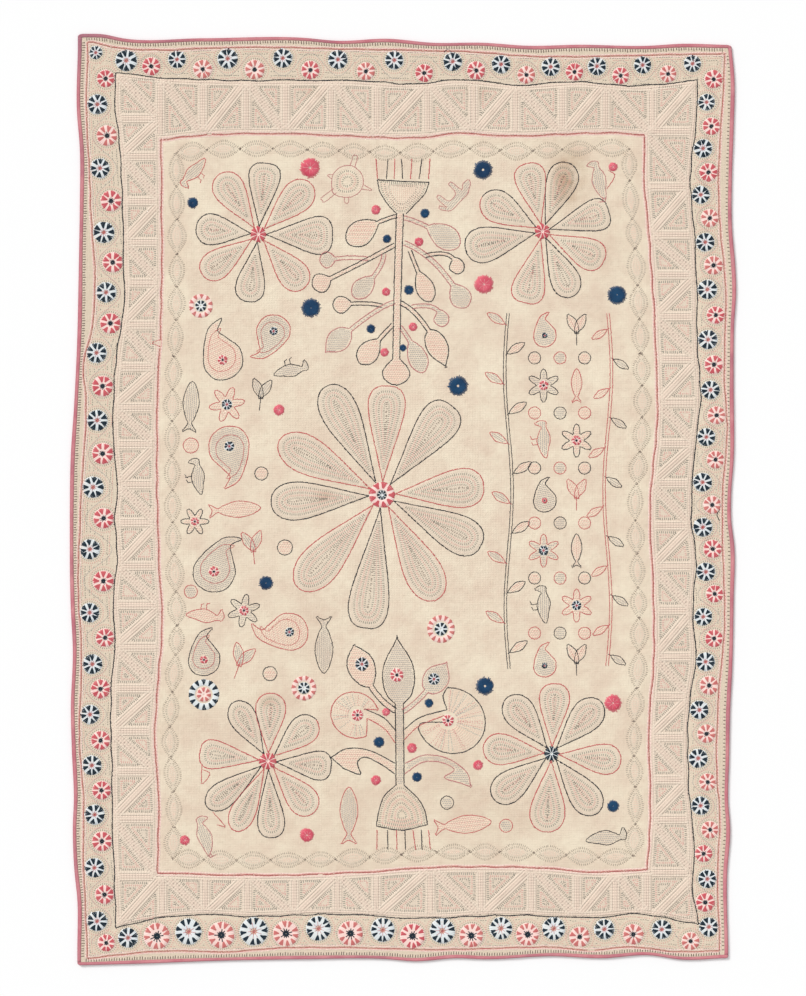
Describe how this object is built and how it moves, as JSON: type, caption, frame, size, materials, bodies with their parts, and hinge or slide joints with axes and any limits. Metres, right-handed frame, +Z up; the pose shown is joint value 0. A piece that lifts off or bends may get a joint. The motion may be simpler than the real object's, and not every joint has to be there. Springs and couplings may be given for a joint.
{
  "type": "kantha quilt",
  "caption": "Thin hand-quilted cotton bed cover laid flat, with embroidered borders and flowers and a folded rose binding round its edge.",
  "frame": {"origin": "middle of the underside, on the surface the quilt lies on", "axes": "+X across the quilt to the right, +Y along its length to the top edge, +Z up through its face"},
  "size_m": [1.3317, 1.8619, 0.0046],
  "materials": {
    "quilted_cotton": "worn cream cotton with rows of running stitch",
    "rose_cotton": "faded rose cotton, folded over the edge",
    "red_thread": "matt red cotton thread",
    "pink_thread": "faded pink cotton thread",
    "pale_pink_thread": "very pale pink cotton thread",
    "dark_thread": "blue-black cotton thread",
    "blue_thread": "indigo cotton thread",
    "pale_blue_thread": "pale grey-blue cotton thread",
    "grey_thread": "grey-brown cotton thread"
  },
  "bodies": {
    "root": {"quilt": "quilted_cotton", "binding_left": "rose_cotton", "binding_right": "rose_cotton", "binding_top": "rose_cotton", "binding_bottom": "rose_cotton"}
  },
  "joints": []
}
